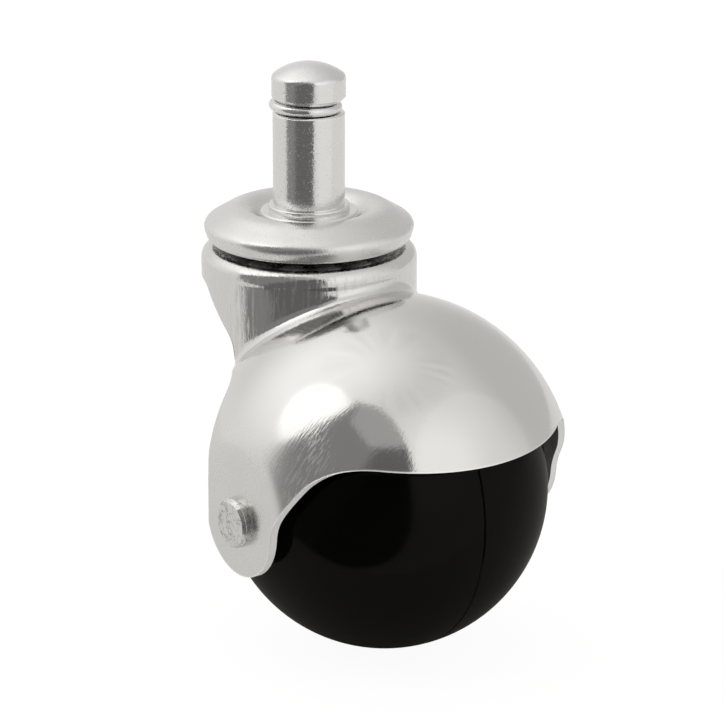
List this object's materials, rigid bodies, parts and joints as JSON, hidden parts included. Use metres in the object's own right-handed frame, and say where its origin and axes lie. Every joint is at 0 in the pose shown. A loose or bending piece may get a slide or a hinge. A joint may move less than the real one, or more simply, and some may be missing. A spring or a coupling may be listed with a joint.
{
  "type": "ball castor",
  "caption": "Furniture castor with a ball wheel under a pressed, plated hood, a ball-bearing swivel and a grip-ring stem for a socket.",
  "frame": {"origin": "on the swivel axis at the stem's shoulder, where the plain shank begins and the furniture leg's socket ends", "axes": "+Z along the stem, up into the furniture leg; the wheel trails towards -Y; +X along the wheel's axle"},
  "size_m": [0.0572, 0.0637, 0.0875],
  "materials": {
    "plated_steel": "bright nickel-chrome plate",
    "plated_sheet": "bright plate over a polished pressing",
    "spring_steel": "plated round wire",
    "race_steel": "plain pressed steel",
    "ball_steel": "polished bearing steel, greased",
    "black_plastic": "glossy moulded black plastic"
  },
  "bodies": {
    "root": {"stem": "plated_steel", "grip_ring": "spring_steel", "swivel_cap": "plated_steel", "lower_race": "race_steel"},
    "housing": {"housing": "plated_sheet", "axle": "plated_steel", "axle_sleeve": "race_steel"},
    "wheel": {"wheel_half_left": "black_plastic", "wheel_half_right": "black_plastic"},
    "upper_balls": {"upper_ball_01": "ball_steel", "upper_ball_02": "ball_steel", "upper_ball_03": "ball_steel", "upper_ball_04": "ball_steel", "upper_ball_05": "ball_steel", "upper_ball_06": "ball_steel", "upper_ball_07": "ball_steel", "upper_ball_08": "ball_steel", "upper_ball_09": "ball_steel", "upper_ball_10": "ball_steel", "upper_ball_11": "ball_steel", "upper_ball_12": "ball_steel", "upper_ball_13": "ball_steel"},
    "lower_balls": {"lower_ball_01": "ball_steel", "lower_ball_02": "ball_steel", "lower_ball_03": "ball_steel", "lower_ball_04": "ball_steel", "lower_ball_05": "ball_steel", "lower_ball_06": "ball_steel", "lower_ball_07": "ball_steel", "lower_ball_08": "ball_steel", "lower_ball_09": "ball_steel", "lower_ball_10": "ball_steel", "lower_ball_11": "ball_steel", "lower_ball_12": "ball_steel", "lower_ball_13": "ball_steel", "lower_ball_14": "ball_steel"}
  },
  "joints": [
    {"name": "swivel", "type": "hinge", "parent": "root", "child": "housing", "pos_m": [0, 0, 0], "axis": [0, 0, 1], "continuous": true},
    {"name": "roll", "type": "hinge", "parent": "housing", "child": "wheel", "pos_m": [0, -0.02, -0.04035], "axis": [1, 0, 0], "continuous": true},
    {"name": "upper_balls_orbit", "type": "hinge", "parent": "root", "child": "upper_balls", "pos_m": [0, 0, 0], "axis": [0, 0, 1], "continuous": true},
    {"name": "lower_balls_orbit", "type": "hinge", "parent": "root", "child": "lower_balls", "pos_m": [0, 0, 0], "axis": [0, 0, 1], "continuous": true}
  ],
  "couplings": [
    {"joint": "upper_balls_orbit", "follows": "swivel", "ratio": 0.5},
    {"joint": "lower_balls_orbit", "follows": "swivel", "ratio": 0.5}
  ]
}
